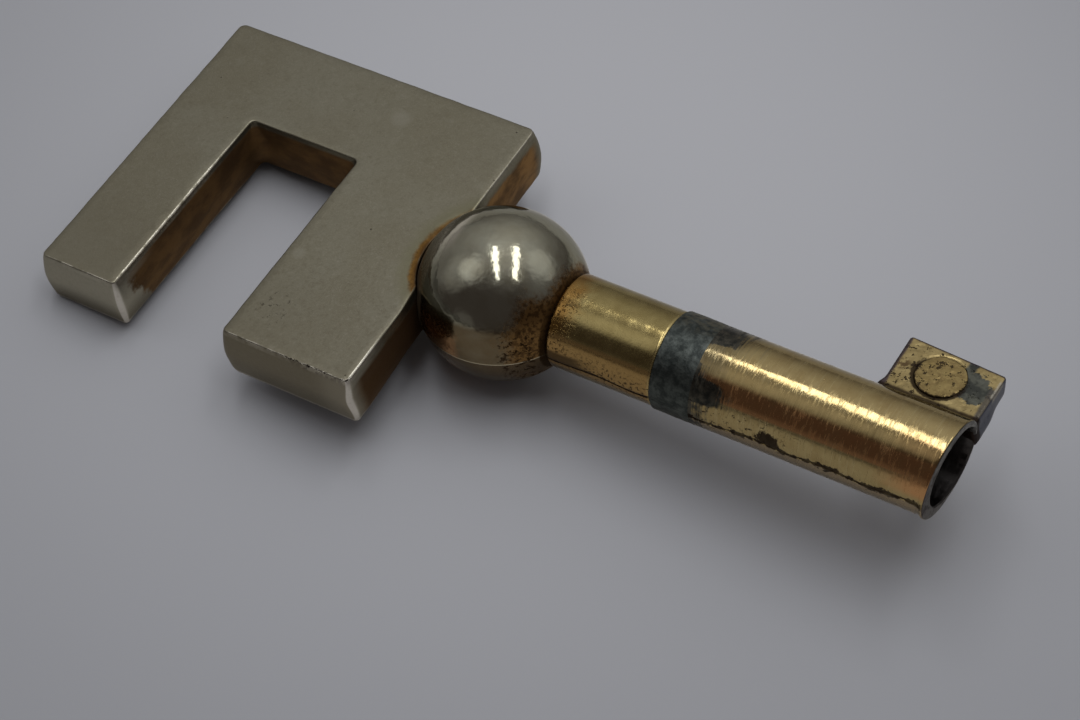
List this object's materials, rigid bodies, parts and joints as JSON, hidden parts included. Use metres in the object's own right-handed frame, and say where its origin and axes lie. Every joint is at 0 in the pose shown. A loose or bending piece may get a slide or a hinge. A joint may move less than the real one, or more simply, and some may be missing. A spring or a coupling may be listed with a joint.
{
  "type": "pipe key",
  "caption": "Pipe key for a cabinet or wardrobe lock: flat squared C-shaped bow with an open slot, a ball collar seated in its front leg, a brass pipe with a deep bore and a small flat bit.",
  "frame": {"origin": "centre of the pipe's mouth, on the axis of its bore", "axes": "+X out of the mouth along the pipe's axis, +Y from the axis towards the bit and the bow's spine, +Z square to the bow's flat faces"},
  "size_m": [0.0645, 0.0258, 0.0122],
  "materials": {
    "satin_nickel": "satin nickel plate, worn and stained brown in the slot",
    "bright_nickel": "polished nickel plate",
    "gold_brass": "satin, tarnished near the ball",
    "bright_brass": "worn shiny, with fine scratches round it",
    "plain_brass": "plain drawn bar",
    "dark_solder": "dark grey, mottled"
  },
  "bodies": {
    "root": {"bow": "satin_nickel", "ball_collar": "bright_nickel", "spindle": "plain_brass", "shoulder_sleeve": "gold_brass", "solder_band": "dark_solder", "pipe": "bright_brass", "bit": "bright_brass", "bit_plug": "plain_brass"}
  },
  "joints": []
}
